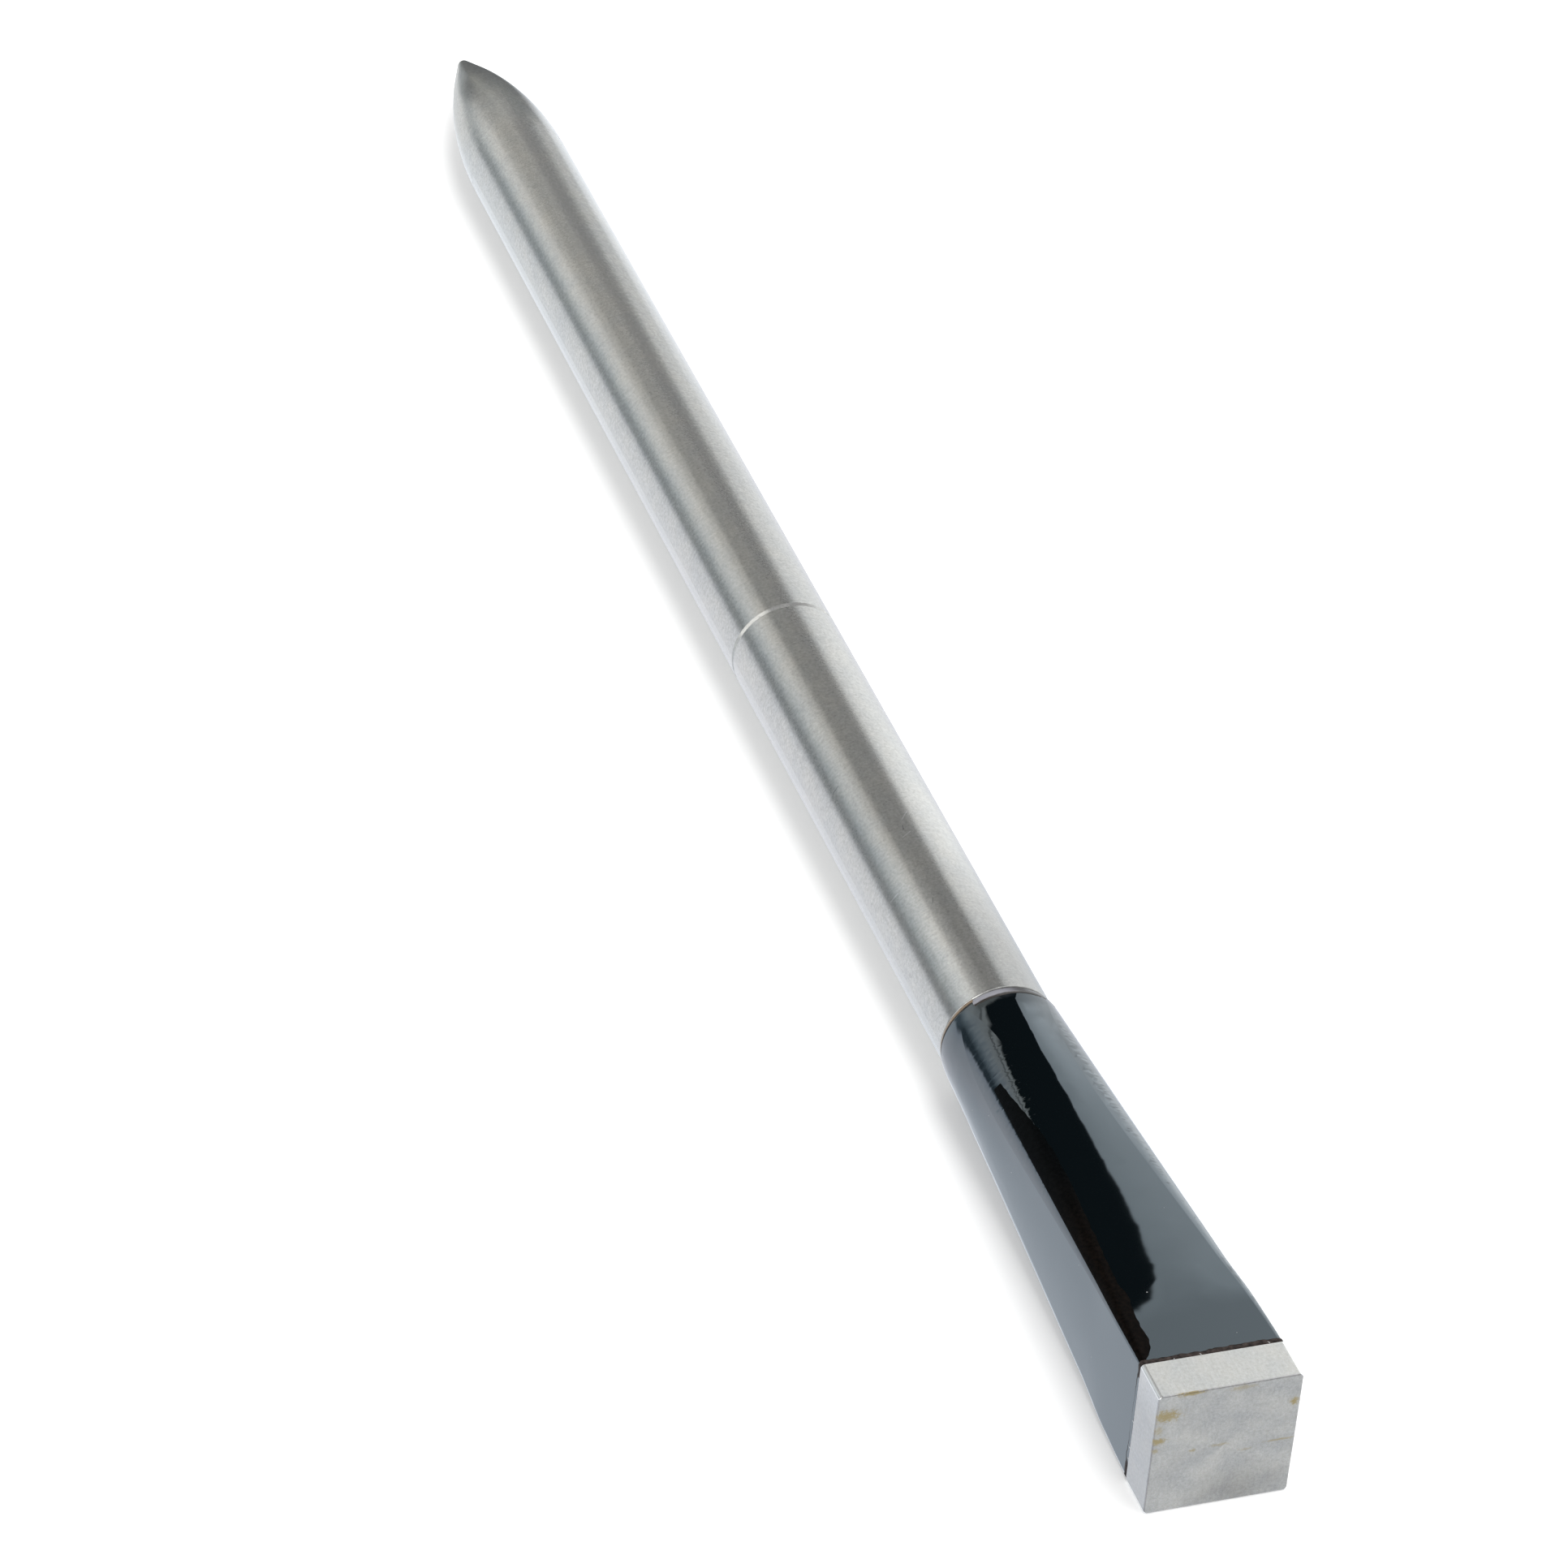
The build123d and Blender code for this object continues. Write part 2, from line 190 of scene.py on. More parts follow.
# Glue squeezed out round the cap's seam. It is swept along a square with rounded corners, and its
# distances outward are from that square.
SEAM_HALF = 3.26
SEAM_STEPS = 90
SEAM_INSET = 0.01
SEAM_LAP = 0.31
SEAM_ROOT = 0.12
SEAM_RISE = 0.232
SEAM_RISE_LEFT = 0.21
SEAM_LIP = 0.218
SEAM_LIP_LENGTH = 0.06
SEAM_LIP_DROP = 0.002

# Slivers of metal at the cap's seam: (place left, place up, length, lean)
BURRS = [
    (0.57, 3.482, 0.14, 0.10),
    (1.90, 3.482, 0.08, -0.05),
    (-2.76, 3.482, 0.18, 0.12),
    (3.482, 0.03, 0.16, 0.08),
    (3.482, -1.54, 0.22, 0.10),
    (3.482, -2.17, 0.16, -0.08),
]
BURR_STEPS = 3
BURR_HALF_WIDTH = 0.03
BURR_GAP = 0.02
BURR_LIFT = 0.004
BURR_CURL = 0.012

# Floor and studio, metres
FLOOR_SIZE = 3.0
FLOOR_GLOW = 0.25
WHITE = (1.0, 1.0, 1.0)
MATT_LIGHT = (0.75, 0.75, 0.75)


def make_camera():
    """Camera behind and above the cap, looking down along the probe."""
    forward = Vector((
        math.cos(CAMERA_ELEVATION) * math.cos(CAMERA_AZIMUTH),
        math.cos(CAMERA_ELEVATION) * math.sin(CAMERA_AZIMUTH),
        -math.sin(CAMERA_ELEVATION),
    ))
    level = forward.cross(Vector((0, 0, 1))).normalized()
    upward = level.cross(forward)
    right = level * math.cos(CAMERA_ROLL) + upward * math.sin(CAMERA_ROLL)
    up = upward * math.cos(CAMERA_ROLL) - level * math.sin(CAMERA_ROLL)
    data = bpy.data.cameras.new("camera")
    data.lens = CAMERA_LENS
    data.clip_start = 0.01
    camera = bpy.data.objects.new("camera", data)
    turn = Matrix((right, up, -forward)).transposed().to_4x4()
    camera.matrix_world = Matrix.Translation(CAMERA_PLACE) @ turn
    bpy.context.scene.collection.objects.link(camera)
    bpy.context.scene.camera = camera


make_camera()


class Nodes:
    """Short way to add and join shader nodes in one tree."""

    def __init__(self, tree):
        self.tree = tree
        tree.nodes.clear()

    def add(self, kind, **settings):
        node = self.tree.nodes.new("ShaderNode" + kind)
        for name, value in settings.items():
            setattr(node, name, value)
        return node

    def join(self, source, target):
        self.tree.links.new(source, target)

    def fill(self, socket, value):
        """Sets a socket to a number or a colour, or joins it to another socket."""
        if isinstance(value, bpy.types.NodeSocket):
            self.join(value, socket)
        elif isinstance(value, tuple) and len(value) == 3 and len(socket.default_value) == 4:
            socket.default_value = (*value, 1.0)
        else:
            socket.default_value = value

    def maths(self, operation, first, second=0.0, third=0.0):
        node = self.add("Math", operation=operation)
        for socket, value in zip(node.inputs, (first, second, third)):
            self.fill(socket, value)
        return node.outputs[0]

    def ramp(self, factor, stops):
        """Colour ramp with (position, colour or grey) stops."""
        node = self.add("ValToRGB")
        elements = node.color_ramp.elements
        while len(elements) < len(stops):
            elements.new(0.5)
        for element, (position, colour) in zip(elements, stops):
            if not isinstance(colour, tuple):
                colour = (colour, colour, colour)
            element.position = position
            element.color = (*colour, 1.0)
        self.fill(node.inputs[0], factor)
        return node.outputs[0]

    def mix(self, factor, first, second, blend="MIX"):
        node = self.add("Mix", data_type="RGBA", blend_type=blend)
        self.fill(node.inputs[0], factor)
        self.fill(node.inputs[6], first)
        self.fill(node.inputs[7], second)
        return node.outputs[2]

    def smooth(self, value, start, end, top=1.0):
        """0 before the start, the top value after the end, smooth in between."""
        node = self.add("MapRange", interpolation_type="SMOOTHSTEP")
        self.fill(node.inputs["Value"], value)
        node.inputs["From Min"].default_value = start
        node.inputs["From Max"].default_value = end
        node.inputs["To Max"].default_value = top
        return node.outputs[0]

    def split(self, vector):
        """X, Y and Z of a vector."""
        node = self.add("SeparateXYZ")
        self.join(vector, node.inputs[0])
        return node.outputs

    def length(self, vector):
        node = self.add("VectorMath", operation="LENGTH")
        self.join(vector, node.inputs[0])
        return node.outputs["Value"]

    def place(self, scale=(1.0, 1.0, 1.0), offset=(0.0, 0.0, 0.0)):
        """Object position, stretched and moved."""
        source = self.add("TexCoord").outputs["Object"]
        node = self.add("Mapping")
        self.join(source, node.inputs[0])
        node.inputs["Scale"].default_value = scale
        node.inputs["Location"].default_value = offset
        return node.outputs[0]

    def end_spot(self, left, up, half_width, half_height):
        """Distance across X from a place, 1 at the given half sizes. All in millimetres."""
        return self.length(self.place(
            scale=(0.0, 1 / (half_width * MM), 1 / (half_height * MM)),
            offset=(0.0, -left / half_width, -up / half_height),
        ))

    def noise(self, vector, scale, detail=2.0, roughness=0.5):
        node = self.add("TexNoise")
        self.join(vector, node.inputs["Vector"])
        node.inputs["Scale"].default_value = scale
        node.inputs["Detail"].default_value = detail
        node.inputs["Roughness"].default_value = roughness
        return node.outputs[0]

    def bump(self, height, distance):
        node = self.add("Bump")
        self.fill(node.inputs["Height"], height)
        node.inputs["Distance"].default_value = distance
        return node.outputs[0]


def surface(name, metallic=0.0, roughness=0.5, colour=(0.5, 0.5, 0.5), **constants):
    """New material with one Principled shader. Returns the material, its nodes and its shader.

    The constants are the names of more of the shader's sockets, with _ for a space.
    """
    material = bpy.data.materials.new(name)
    material.use_nodes = True
    nodes = Nodes(material.node_tree)
    shader = nodes.add("BsdfPrincipled")
    output = nodes.add("OutputMaterial")
    nodes.join(shader.outputs[0], output.inputs[0])
    shader.inputs["Metallic"].default_value = metallic
    shader.inputs["Roughness"].default_value = roughness
    shader.inputs["Base Color"].default_value = (*colour, 1.0)
    for socket, value in constants.items():
        shader.inputs[socket.replace("_", " ")].default_value = value
    return material, nodes, shader


def steel(name, lines, roughness, tone):
    """Satin steel with fine machining lines. Returns the material, its nodes, shader and colour."""
    material, nodes, shader = surface(name, metallic=0.72)
    clouds = nodes.noise(nodes.place(scale=(0.7, 1.0, 1.0)), 800.0, detail=5.0, roughness=0.6)
    grain = nodes.noise(nodes.place(), 6000.0, detail=4.0, roughness=0.75)
    marks = nodes.noise(nodes.place(scale=lines), 12000.0, detail=5.0, roughness=0.65)
    cool = (0.93 * tone, 0.935 * tone, 0.91 * tone)
    warm = (1.03 * tone, 1.01 * tone, 0.95 * tone)
    colour = nodes.ramp(clouds, [(0.3, cool), (0.7, warm)])
    shade = nodes.maths("MULTIPLY_ADD", marks, 0.25, nodes.maths("MULTIPLY", grain, 0.75))
    colour = nodes.mix(0.7, colour, nodes.ramp(shade, [(0.35, 0.36), (0.65, 0.64)]), "OVERLAY")
    nodes.fill(shader.inputs["Roughness"], nodes.maths("MULTIPLY_ADD", shade, 0.12, roughness))
    nodes.fill(shader.inputs["Normal"], nodes.bump(shade, 0.0000007))
    return material, nodes, shader, colour


def shaft_steel():
    """Steel ground round the shaft, near the handle hazy with a painted highlight and painted shade by
    angle round it, and with a few scratches there.
    """
    material, nodes, shader, colour = steel("shaft_steel", (1.0, 0.03, 0.03), 0.15, 0.47)
    ahead, left, up = nodes.split(nodes.place())
    angle = nodes.maths("ARCTAN2", up, left)
    plain_tone = (HAZE_AND_SHADING_PLAIN, HAZE_AND_SHADING_PLAIN, HAZE_AND_SHADING_PLAIN)
    stops = [(degrees / 180, tone) for degrees, tone in HAZE_AND_SHADING_TONES]
    # Painted highlight and painted shade with worn haze: lighter towards the upper left, darker over the
    # top and to the right
    haze_and_shading = nodes.ramp(nodes.maths("DIVIDE", angle, math.pi), stops)
    near = nodes.smooth(ahead, (joint_x + HAZE_AND_SHADING_START) * MM, (joint_x + HAZE_AND_SHADING_FULL) * MM)
    haze_and_shading = nodes.mix(near, plain_tone, haze_and_shading)
    colour = nodes.mix(1.0, nodes.mix(1.0, colour, haze_and_shading, "MULTIPLY"), plain_tone, "DIVIDE")
    radius = (shaft_high.z - shaft_low.z) / 2
    around = nodes.maths("MULTIPLY", angle, radius)
    for station, degrees, length, width, slant, tone in SHAFT_MARKS:
        x = nodes.maths("SUBTRACT", ahead, station * MM)
        y = nodes.maths("SUBTRACT", around, math.radians(degrees) * radius)
        cosine, sine = math.cos(math.radians(slant)), math.sin(math.radians(slant))
        along = nodes.maths("MULTIPLY_ADD", x, cosine, nodes.maths("MULTIPLY", y, sine))
        across = nodes.maths("MULTIPLY_ADD", x, -sine, nodes.maths("MULTIPLY", y, cosine))
        inside = nodes.maths("LESS_THAN", nodes.maths("ABSOLUTE", along), length * MM / 2)
        thin = nodes.maths("LESS_THAN", nodes.maths("ABSOLUTE", across), width * MM / 2)
        mark = nodes.maths("MULTIPLY", nodes.maths("MULTIPLY", inside, thin), MARK_STRENGTH)
        colour = nodes.mix(mark, colour, (tone, tone, tone))
    nodes.fill(shader.inputs["Base Color"], colour)
    return material


def cap_steel():
    """Brushed steel of the cap, with a painted highlight on its long edges, painted shade on its end face
    and left side, and bloom and brown tarnish on its end face.
    """
    material, nodes, shader, colour = steel("cap_steel", (0.04, 1.0, 1.0), 0.28, 0.60)
    ahead, left, up = nodes.split(nodes.place())
    height = nodes.maths("MULTIPLY_ADD", up, 1 / (cap_high.z - cap_low.z), 0.5)

    def tint(where, shade, strength=1.0):
        """The colour so far, multiplied by a shade where a mask is 1."""
        return nodes.mix(where, colour, nodes.mix(strength, colour, shade, "MULTIPLY"))

    on_end = nodes.maths("LESS_THAN", ahead, FACE_DEPTH * MM)
    patch = nodes.end_spot(*SHADE_PATCH_CENTRE, *SHADE_PATCH_HALF)
    # Painted shade: the whole end face darker, darkest in the patch low on it
    colour = tint(on_end, nodes.ramp(patch, [(0.15, (0.60, 0.59, 0.59)), (0.95, (0.77, 0.765, 0.78))]))
    bloom = nodes.noise(nodes.place(scale=(1.0, 1.0, 1.5)), 600.0, detail=8.0, roughness=0.72)
    bloom = nodes.ramp(bloom, [(0.38, (0.84, 0.84, 0.86)), (0.6, (1.04, 1.04, 1.04))])
    colour = tint(on_end, bloom, 0.8)
    # Painted shade: the cap's left side darker, less so near its top
    painted_shade_left = nodes.maths("GREATER_THAN", left, cap_high.y - SIDE_DEPTH * MM)
    colour = tint(painted_shade_left, nodes.ramp(height, [
        (0.0, (0.75, 0.74, 0.76)),
        (0.7, (0.73, 0.72, 0.74)),
        (0.97, (0.90, 0.89, 0.91)),
    ]))
    # Painted highlight along the cap's four long edges
    edge = nodes.maths("ADD", nodes.maths("ABSOLUTE", left), nodes.maths("ABSOLUTE", up))
    painted_highlight_edge = nodes.maths("GREATER_THAN", edge, cap_high.y + cap_high.z - EDGE_REACH * MM)
    colour = nodes.mix(nodes.maths("MULTIPLY", painted_highlight_edge, 0.8), colour, (0.95, 0.95, 0.94))
    ragged = nodes.noise(nodes.place(scale=(1.0, 1.0, 1.6)), 5000.0, detail=6.0, roughness=0.8)
    for place_left, place_up, width, rise, strength in TARNISH:
        reach = nodes.end_spot(place_left, place_up, width, rise)
        reach = nodes.maths("MULTIPLY_ADD", ragged, TARNISH_RAGGED, reach)
        spot = nodes.smooth(reach, TARNISH_OUTSIDE, TARNISH_INSIDE, strength)
        colour = nodes.mix(nodes.maths("MULTIPLY", spot, on_end), colour, TARNISH_BROWN)
    nodes.fill(shader.inputs["Base Color"], colour)
    return material


def black_ceramic():
    """Polished black ceramic with a little dust."""
    material, nodes, shader = surface("black_ceramic", IOR=1.9, Specular_Tint=(0.75, 0.90, 1.0, 1.0))
    cells = nodes.add("TexVoronoi")
    nodes.join(nodes.place(), cells.inputs["Vector"])
    cells.inputs["Scale"].default_value = 1100.0
    pick = nodes.add("SeparateColor")
    nodes.join(cells.outputs["Color"], pick.inputs[0])
    near = nodes.maths("LESS_THAN", cells.outputs["Distance"], 0.035)
    speck = nodes.maths("MULTIPLY", near, nodes.maths("GREATER_THAN", pick.outputs[0], 0.6))
    nodes.fill(shader.inputs["Base Color"], nodes.mix(speck, (0.0022, 0.0035, 0.0043), (0.35, 0.35, 0.34)))
    nodes.fill(shader.inputs["Roughness"], nodes.maths("MULTIPLY_ADD", speck, 0.5, 0.03))
    ripple = nodes.noise(nodes.place(), 450.0, detail=2.0)
    nodes.fill(shader.inputs["Normal"], nodes.bump(ripple, 0.000002))
    return material


def dark_glue():
    """Dark brown cured adhesive, black towards the joint."""
    material, nodes, shader = surface("dark_glue", roughness=0.4, Specular_IOR_Level=0.03)
    grain = nodes.noise(nodes.place(), 5000.0, detail=3.0)
    brown = nodes.ramp(grain, [(0.35, (0.0015, 0.0012, 0.001)), (0.75, (0.006, 0.004, 0.003))])
    black = nodes.ramp(grain, [(0.35, (0.0006, 0.0009, 0.0011)), (0.75, (0.0018, 0.0024, 0.0028))])
    ahead = nodes.split(nodes.place())[0]
    fade = nodes.smooth(ahead, SMEAR_BROWN * MM, SMEAR_BLACK * MM)
    nodes.fill(shader.inputs["Base Color"], nodes.mix(fade, brown, black))
    return material


def seam_glue():
    """Brown glue at the cap's seam."""
    material, nodes, shader = surface("seam_glue", roughness=0.5, Specular_IOR_Level=0.15)
    grain = nodes.noise(nodes.place(), 4000.0, detail=3.0)
    colour = nodes.ramp(grain, [(0.35, (0.012, 0.009, 0.008)), (0.75, (0.06, 0.045, 0.04))])
    nodes.fill(shader.inputs["Base Color"], colour)
    return material


def brown_glue():
    """Orange-brown glue line with a lighter front and a dark back."""
    material, nodes, shader = surface("brown_glue", roughness=0.35)
    grain = nodes.noise(nodes.place(), 6000.0, detail=3.0)
    ahead = nodes.split(nodes.place())[0]
    back = nodes.maths("MULTIPLY", nodes.maths("SUBTRACT", joint_x * MM, ahead), 2500.0)
    colour = nodes.ramp(nodes.maths("MULTIPLY_ADD", grain, 0.3, back), [
        (0.15, (0.48, 0.42, 0.36)),
        (0.32, (0.06, 0.045, 0.035)),
        (0.50, (0.34, 0.23, 0.13)),
        (0.66, (0.20, 0.14, 0.09)),
        (0.85, (0.03, 0.025, 0.02)),
    ])
    nodes.fill(shader.inputs["Base Color"], colour)
    return material


def pale_glue():
    """Pale grey glue with a dark brown rim at its back, darker on the right side."""
    material, nodes, shader = surface("pale_glue", roughness=0.3)
    ahead, left, _ = nodes.split(nodes.place())
    grain = nodes.noise(nodes.place(), 3000.0, detail=4.0)
    past = nodes.maths("SUBTRACT", ahead, (joint_x + FILLET_RIM) * MM)
    past = nodes.maths("MULTIPLY_ADD", past, 6000.0, grain)
    pale = nodes.ramp(past, [
        (0.3, (0.03, 0.025, 0.022)),
        (0.6, (0.15, 0.145, 0.15)),
        (0.9, (0.27, 0.27, 0.30)),
    ])
    dull = nodes.ramp(past, [(0.3, (0.02, 0.018, 0.016)), (0.9, (0.05, 0.047, 0.046))])
    side = nodes.smooth(left, 0.3 * MM, -0.9 * MM)
    nodes.fill(shader.inputs["Base Color"], nodes.mix(side, pale, dull))
    return material


def plain(slot):
    """Material of a sealed inner piece, from its slot in the record, with a slight grain."""
    record = next(m for m in frame["record"]["materials"] if m["slot"] == slot)
    red, green, blue = record["base_color"][:3]
    metal = 1.0 if record["class"] in ("brushed_steel", "chrome", "aluminium", "brass") else 0.0
    material, nodes, shader = surface(slot, metallic=metal)
    grain = nodes.noise(nodes.place(), 3000.0, detail=3.0)
    dark = (red * 0.85, green * 0.85, blue * 0.85)
    nodes.fill(shader.inputs["Base Color"], nodes.ramp(grain, [(0.3, dark), (0.7, (red, green, blue))]))
    nodes.fill(shader.inputs["Roughness"], nodes.maths("MULTIPLY_ADD", grain, 0.2, 0.3))
    return material


def dress_nodes():
    """Gives every CAD node its material."""
    slots = {part["node"]: part["material_slot"] for part in frame["record"]["subparts"]}
    special = {
        "probe_tube": shaft_steel(),
        "end_cap": cap_steel(),
        "ceramic_handle": black_ceramic(),
        "cap_adhesive": dark_glue(),
    }
    special["probe_tip"] = special["probe_tube"]
    special["tube_adhesive"] = special["cap_adhesive"]
    by_slot = {}
    for name, node in frame["nodes"].items():
        slot = slots[name]
        if name not in special and slot not in by_slot:
            by_slot[slot] = plain(slot)
        for holder in node.material_slots:
            holder.material = special.get(name) or by_slot[slot]


def ring_piece(name, path, sections, material):
    """Closed band swept along a path across the probe.

    The path is a list of (place, outward direction), both (y, z). For each there is a section: a
    list of (x, distance outward) going round the band. Millimetres.
    """
    count = len(sections[0])
    points = []
    for ((y, z), (side, rise)), section in zip(path, sections):
        points += [(x * MM, (y + side * out) * MM, (z + rise * out) * MM) for x, out in section]
    faces = []
    for row in range(len(path) - 1):
        start = row * count
        for step in range(count):
            after = (step + 1) % count
            faces.append((start + step, start + after, start + count + after, start + count + step))
    faces.append(tuple(range(count)))
    faces.append(tuple(reversed(range(len(points) - count, len(points)))))
    add_piece(name, points, faces, material)


def add_piece(name, points, faces, material):
    """Mesh that belongs to the probe and isn't in the CAD."""
    mesh = bpy.data.meshes.new(name)
    mesh.from_pydata(points, [], faces)
    mesh.materials.append(material)
    mesh.shade_smooth()
    piece = bpy.data.objects.new(name, mesh)
    bpy.context.scene.collection.objects.link(piece)
    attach(piece, "root")


def wave(place, size, seed):
    """Smooth irregular value between about -1 and 1 along a length."""
    return noise.noise((place / size, seed, 0.5)) * 1.6


def arc(start, end, count):
    """Path round the probe's axis between two angles from +Y."""
    angles = [math.radians(start + (end - start) * step / (count - 1)) for step in range(count)]
    return [((0.0, 0.0), (math.cos(angle), math.sin(angle))) for angle in angles]


def square_path(half, steps):
    """Path round a square with the given half side to its corner rounds' centres."""
    path = []
    for turn in range(4):
        outward = math.radians(90 * turn)
        along = outward + math.pi / 2
        for step in range(steps):
            reach = half * (2 * step / (steps - 1) - 1)
            place = (
                half * math.cos(outward) + reach * math.cos(along),
                half * math.sin(outward) + reach * math.sin(along),
            )
            path.append((place, (math.cos(outward), math.sin(outward))))
        corner = (
            half * (math.cos(outward) + math.cos(along)),
            half * (math.sin(outward) + math.sin(along)),
        )
        for degrees in range(15, 90, 15):
            angle = outward + math.radians(degrees)
            path.append((corner, (math.cos(angle), math.sin(angle))))
    return path + path[:1]


def joint_ring(name, outline, spread, material, steps, ragged, wave_size, seed):
    """Ring of glue round part of the joint, from its outline."""
    sections = []
    for place in range(steps):
        shift = ragged * wave(place, wave_size, seed)
        section = [(joint_x + ahead, out) for ahead, out in outline[:-2]]
        section += [(joint_x + ahead + shift, out) for ahead, out in outline[-2:]]
        sections.append(section)
    ring_piece(name, arc(*spread, steps), sections, material)


def joint_glue():
    """Brown glue line on the left of the shaft's joint and a pale fillet of glue over the top."""
    joint_ring(
        "joint_glue_line", GLUE_LINE, GLUE_LINE_SPREAD, brown_glue(),
        steps=90, ragged=GLUE_LINE_RAGGED, wave_size=9, seed=1.0,
    )
    joint_ring(
        "joint_glue_fillet", FILLET, FILLET_SPREAD, pale_glue(),
        steps=110, ragged=FILLET_RAGGED, wave_size=14, seed=2.0,
    )


def cap_glue():
    """Ragged brown glue squeezed out round the cap's seam, less on its left side."""
    path = square_path(SEAM_HALF, SEAM_STEPS)
    start = seam_x - SEAM_INSET
    sections = []
    for place in range(len(path)):
        # A long wave and a short one
        rough = 0.05 * wave(place, 7, 3.0) + 0.03 * wave(place, 2.5, 4.0)
        end = seam_x + SEAM_LAP + rough
        out = SEAM_RISE + 0.003 * wave(place, 5, 5.0)
        if place < SEAM_STEPS:
            out = SEAM_RISE_LEFT
        sections.append([
            (start, SEAM_ROOT),
            (start, out),
            (end - SEAM_LIP_LENGTH, out - SEAM_LIP_DROP),
            (end, SEAM_LIP),
            (end, SEAM_ROOT),
        ])
    sections[-1] = sections[0]
    ring_piece("cap_glue", path, sections, seam_glue())


def smear():
    """Thin film of glue along the grip's top left edge, with a ragged inner edge."""
    node = frame["nodes"]["ceramic_handle"]
    grip = BVHTree.FromObject(node, bpy.context.evaluated_depsgraph_get())
    to_local = node.matrix_world.inverted()

    def touch(start, towards):
        """Point of the grip met on the way from one place towards another, in millimetres."""
        start, towards = to_local @ (Vector(start) * MM), to_local @ (Vector(towards) * MM)
        return node.matrix_world @ grip.ray_cast(start, towards - start)[0] / MM

    # Higher than any point of the grip
    above = 10
    points = []
    for row in range(SMEAR_ROWS):
        x = SMEAR[0][0] + (SMEAR[-1][0] - SMEAR[0][0]) * row / (SMEAR_ROWS - 1)
        y = edge_at(x) + SMEAR_RAGGED * wave(row, 4, 6.0)
        inner = touch((x, y, above), (x, y, 0))
        last = math.radians(SMEAR_OUTER - SMEAR_TURN * (x - SMEAR[0][0]))
        first = max(math.atan2(inner.z, inner.y), last + SMEAR_LEAST)
        for column in range(SMEAR_COLUMNS):
            angle = first + (last - first) * column / (SMEAR_COLUMNS - 1)
            outward = Vector((0, math.cos(angle), math.sin(angle)))
            hit = touch((x, above * outward.y, above * outward.z), (x, 0, 0))
            film = SMEAR_FILM + SMEAR_GAIN * min(1.0, column / SMEAR_GAIN_COLUMNS)
            points.append(((hit + outward * film) * MM)[:])
    faces = []
    for row in range(SMEAR_ROWS - 1):
        for column in range(SMEAR_COLUMNS - 1):
            first = row * SMEAR_COLUMNS + column
            after = first + SMEAR_COLUMNS
            faces.append((first, after, after + 1, first + 1))
    add_piece("edge_smear", points, faces, dark_glue())


def edge_at(x):
    """Inner edge of the smear at a place along the grip."""
    for (start, low), (end, high) in zip(SMEAR, SMEAR[1:]):
        if x <= end:
            return low + (high - low) * max(0.0, x - start) / (end - start)
    return SMEAR[-1][1]


def burrs():
    """A few tiny bright slivers of metal at the cap's seam."""
    points, faces = [], []
    for y, z, length, lean in BURRS:
        side, rise = (0.0, 1.0) if abs(z) > abs(y) else (1.0, 0.0)
        first = len(points)
        for step in range(BURR_STEPS + 1):
            x = seam_x + BURR_GAP + length * step / BURR_STEPS
            half = BURR_HALF_WIDTH * (1 - step / (BURR_STEPS + 1))
            out = BURR_LIFT + BURR_CURL * math.sin(step)
            shift = lean * (step / BURR_STEPS) ** 2
            for across in (shift - half, shift + half):
                point = (x, y + side * out + rise * across, z + rise * out + side * across)
                points.append(tuple(value * MM for value in point))
        for step in range(BURR_STEPS):
            start = first + 2 * step
            faces.append((start, start + 1, start + 3, start + 2))
    material = surface("bright_burr", metallic=0.3, roughness=0.4, colour=(0.55, 0.55, 0.54))[0]
    add_piece("seam_burrs", points, faces, material)


def make_floor():
    """Pale floor under the cap's lower side and the shaft's front end."""
    drop = shaft_low.z - cap_low.z
    run = shaft_high.x - cap_high.x
    tilt = math.atan2(drop, run)
    half = FLOOR_SIZE / 2
    mesh = bpy.data.meshes.new("floor")
    corners = [(-half, -half, 0), (half, -half, 0), (half, half, 0), (-half, half, 0)]
    mesh.from_pydata(corners, [], [(0, 1, 2, 3)])
    floor = bpy.data.objects.new("floor", mesh)
    floor.rotation_euler = (0, -tilt, 0)
    floor.location = (cap_high.x, 0, cap_low.z)
    bpy.context.scene.collection.objects.link(floor)
    material, nodes, shader = surface("floor", roughness=0.9, colour=(0.86, 0.86, 0.86))
    path = nodes.add("LightPath")
    white = nodes.add("Emission")
    nodes.join(nodes.maths("MULTIPLY", path.outputs["Is Camera Ray"], FLOOR_GLOW), white.inputs["Strength"])
    both = nodes.add("AddShader")
    nodes.join(shader.outputs[0], both.inputs[0])
    nodes.join(white.outputs[0], both.inputs[1])
    nodes.join(both.outputs[0], nodes.tree.nodes["Material Output"].inputs[0])
    floor.data.materials.append(material)
    floor.visible_glossy = False


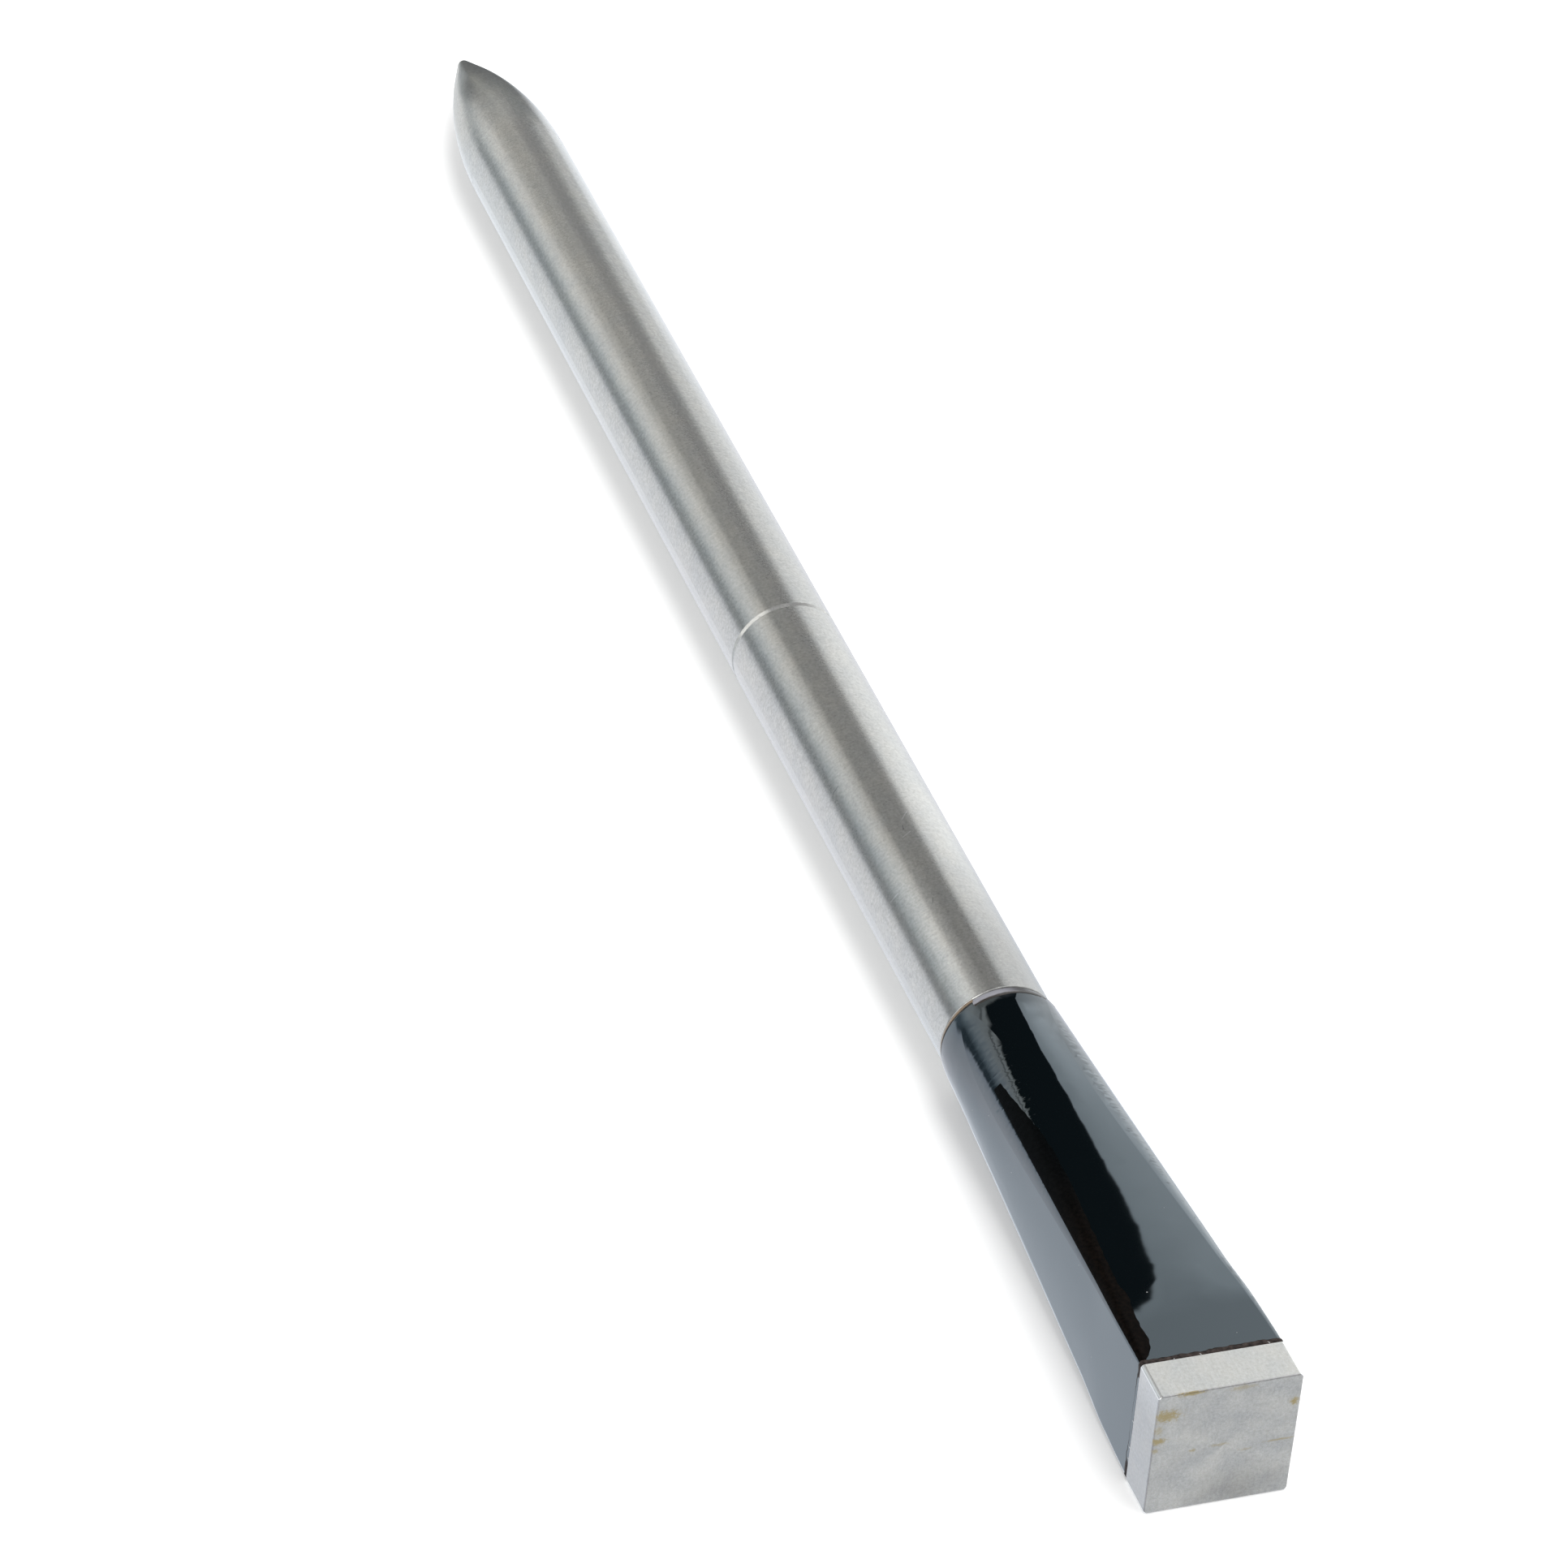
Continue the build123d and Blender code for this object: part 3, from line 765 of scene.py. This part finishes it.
def make_world():
    """Studio seen in reflections; plain light for matt surfaces; white behind the object.

    In reflections the floor and both sides are bright, with a thin dark gap above the left side.
    Overhead is dark, with a straight edge to each side and a fainter dark line beyond its left
    edge. Straight ahead is mostly dark.
    """
    world = bpy.data.worlds.new("studio")
    bpy.context.scene.world = world
    world.use_nodes = True
    nodes = Nodes(world.node_tree)
    direction = nodes.add("TexCoord").outputs["Generated"]
    ahead, left, up = nodes.split(direction)
    turn = nodes.maths("ARCTAN2", up, left)
    share = nodes.maths("MULTIPLY_ADD", turn, 0.5 / math.pi, 0.5)

    def side_of(normal):
        """Height of the direction over a plane through the object."""
        node = nodes.add("VectorMath", operation="DOT_PRODUCT")
        nodes.join(direction, node.inputs[0])
        node.inputs[1].default_value = Vector(normal).normalized()
        return node.outputs["Value"]

    def panorama(*stops):
        """Colours round the probe's axis, at angles from the left side over the top."""
        return nodes.ramp(share, [((degrees + 180) / 360, colour) for degrees, colour in stops])

    over_handle = panorama(
        (-180, (1.00, 1.08, 1.18)),
        (-66, (1.02, 1.10, 1.20)),
        (-40, (1.14, 1.22, 1.33)),
        (-9, (1.05, 1.13, 1.22)),
        (-4, (0.04, 0.06, 0.08)),
        (12, (0.03, 0.05, 0.07)),
        (19, (0.24, 0.32, 0.37)),
        (29, (0.50, 0.56, 0.61)),
        (45, (0.56, 0.64, 0.69)),
        (110, (0.40, 0.40, 0.40)),
        (150, (1.16, 1.24, 1.35)),
    )
    over_shaft = panorama(
        (-180, (1.21, 1.24, 1.33)),
        (-117, (0.85, 0.87, 0.94)),
        (-90, (1.10, 1.13, 1.21)),
        (-66, (1.20, 1.22, 1.31)),
        (-20, (1.22, 1.24, 1.32)),
        (-8, (1.05, 1.10, 1.22)),
        (-2, (0.12, 0.16, 0.19)),
        (9, (0.12, 0.16, 0.19)),
        (20, (0.45, 0.53, 0.59)),
        (30, (0.80, 0.86, 0.91)),
        (40, (0.92, 0.96, 1.00)),
        (48, (1.08, 1.08, 1.06)),
        (70, (1.08, 1.05, 0.99)),
        (110, (0.40, 0.40, 0.40)),
        (150, (1.21, 1.29, 1.41)),
    )
    towards_tip = panorama(
        (-180, (1.21, 1.27, 1.35)),
        (-20, (1.18, 1.26, 1.34)),
        (-8, (1.05, 1.13, 1.22)),
        (-2, (0.26, 0.33, 0.38)),
        (9, (0.26, 0.33, 0.38)),
        (20, (0.75, 0.85, 0.90)),
        (30, (1.12, 1.17, 1.18)),
        (44, (1.15, 1.15, 1.12)),
        (51, (0.92, 0.91, 0.88)),
        (59, (0.55, 0.55, 0.51)),
        (86, (0.60, 0.59, 0.55)),
        (97, (0.52, 0.52, 0.50)),
        (108, (0.20, 0.20, 0.21)),
        (135, (0.04, 0.05, 0.06)),
        (160, (0.04, 0.05, 0.06)),
    )
    around_front = panorama(
        (-180, (0.06, 0.07, 0.08)),
        (-125, (0.02, 0.03, 0.04)),
        (-112, (0.40, 0.42, 0.44)),
        (-100, (0.95, 0.98, 1.00)),
        (-30, (1.10, 1.13, 1.15)),
        (-8, (0.62, 0.67, 0.69)),
        (6, (0.60, 0.65, 0.67)),
        (20, (0.72, 0.76, 0.78)),
        (32, (0.80, 0.82, 0.81)),
        (54, (0.48, 0.49, 0.48)),
        (76, (0.38, 0.39, 0.38)),
        (98, (0.48, 0.49, 0.47)),
        (122, (0.26, 0.27, 0.27)),
        (150, (0.13, 0.15, 0.15)),
        (170, (0.06, 0.08, 0.09)),
    )
    straight_ahead = panorama(
        (-180, (0.02, 0.03, 0.04)),
        (-125, (0.03, 0.04, 0.05)),
        (-97, (0.10, 0.12, 0.13)),
        (-84, (0.30, 0.33, 0.35)),
        (-62, (0.60, 0.64, 0.66)),
        (-42, (0.38, 0.42, 0.44)),
        (-20, (0.15, 0.18, 0.19)),
        (0, (0.04, 0.06, 0.07)),
        (35, (0.03, 0.04, 0.05)),
        (68, (0.20, 0.21, 0.20)),
        (97, (0.34, 0.35, 0.32)),
        (125, (0.14, 0.16, 0.15)),
        (155, (0.04, 0.05, 0.06)),
    )
    behind = panorama(
        (-180, (0.98, 1.03, 1.06)),
        (0, (0.98, 1.03, 1.06)),
        (8, (1.70, 1.72, 1.72)),
        (62, (1.70, 1.72, 1.72)),
        (74, (0.30, 0.30, 0.32)),
        (140, (0.30, 0.30, 0.32)),
        (170, (0.98, 1.03, 1.06)),
    )
    studio = nodes.mix(nodes.smooth(ahead, 0.712, 0.745), over_handle, over_shaft)
    overhead = nodes.maths("MULTIPLY_ADD", side_of((-0.460, -0.410, 0.787)), 4.0, 0.5)
    overhead = nodes.ramp(overhead, [
        (0.02, 0.0),
        (0.11, 0.55),
        (0.16, 0.55),
        (0.25, 0.0),
        (0.38, 0.0),
        (0.56, 1.0),
    ])
    studio = nodes.mix(overhead, studio, (0.006, 0.010, 0.012))
    studio = nodes.mix(nodes.smooth(ahead, 0.785, 0.820), studio, towards_tip)
    right_edge = side_of((-0.557, -0.80, 0.232))
    right = nodes.ramp(nodes.maths("MULTIPLY", right_edge, 4.0), [
        (0.0, (1.13, 1.19, 1.22)),
        (0.16, (1.27, 1.32, 1.35)),
        (0.30, (1.45, 1.50, 1.54)),
        (0.60, (1.75, 1.80, 1.84)),
        (1.0, (1.95, 2.00, 2.04)),
    ])
    along = nodes.ramp(nodes.maths("MULTIPLY_ADD", ahead, 10.0, -6.9), [
        (0.0, 0.85),
        (0.16, 0.85),
        (0.28, 1.08),
        (0.35, 1.20),
        (0.60, 1.20),
        (0.75, 1.0),
    ])
    right = nodes.mix(1.0, right, along, "MULTIPLY")
    right = nodes.mix(nodes.smooth(ahead, 0.735, 0.765, 0.47), right, (0.68, 0.69, 0.69))
    sharp, soft = nodes.smooth(right_edge, -0.002, 0.002), nodes.smooth(right_edge, -0.12, 0.12)
    right_side = nodes.mix(nodes.smooth(up, 0.45, 0.05), sharp, soft)
    studio = nodes.mix(right_side, studio, right)
    studio = nodes.mix(nodes.smooth(ahead, 0.838, 0.900), studio, around_front)
    studio = nodes.mix(nodes.smooth(ahead, 0.945, 0.975), studio, straight_ahead)
    studio = nodes.mix(nodes.smooth(ahead, 0.02, -0.12), studio, behind)
    path = nodes.add("LightPath")
    light = nodes.mix(path.outputs["Is Glossy Ray"], MATT_LIGHT, studio)
    background = nodes.add("Background")
    nodes.join(nodes.mix(path.outputs["Is Camera Ray"], light, WHITE), background.inputs[0])
    output = nodes.add("OutputWorld")
    nodes.join(background.outputs[0], output.inputs[0])


def make_lamp(name, place, size, power):
    """Soft lamp that lights the floor and matt surfaces and isn't seen in reflections."""
    data = bpy.data.lights.new(name, "AREA")
    data.shape = "DISK"
    data.size = size
    data.energy = power
    lamp = bpy.data.objects.new(name, data)
    lamp.location = place
    lamp.rotation_euler = (-Vector(place)).to_track_quat("-Z", "Y").to_euler()
    lamp.visible_glossy = False
    bpy.context.scene.collection.objects.link(lamp)


dress_nodes()
joint_glue()
cap_glue()
smear()
burrs()
make_floor()
make_world()
make_lamp("key", (-0.05, -0.12, 0.9), 0.5, 5.0)
bpy.context.scene.view_settings.view_transform = "Standard"
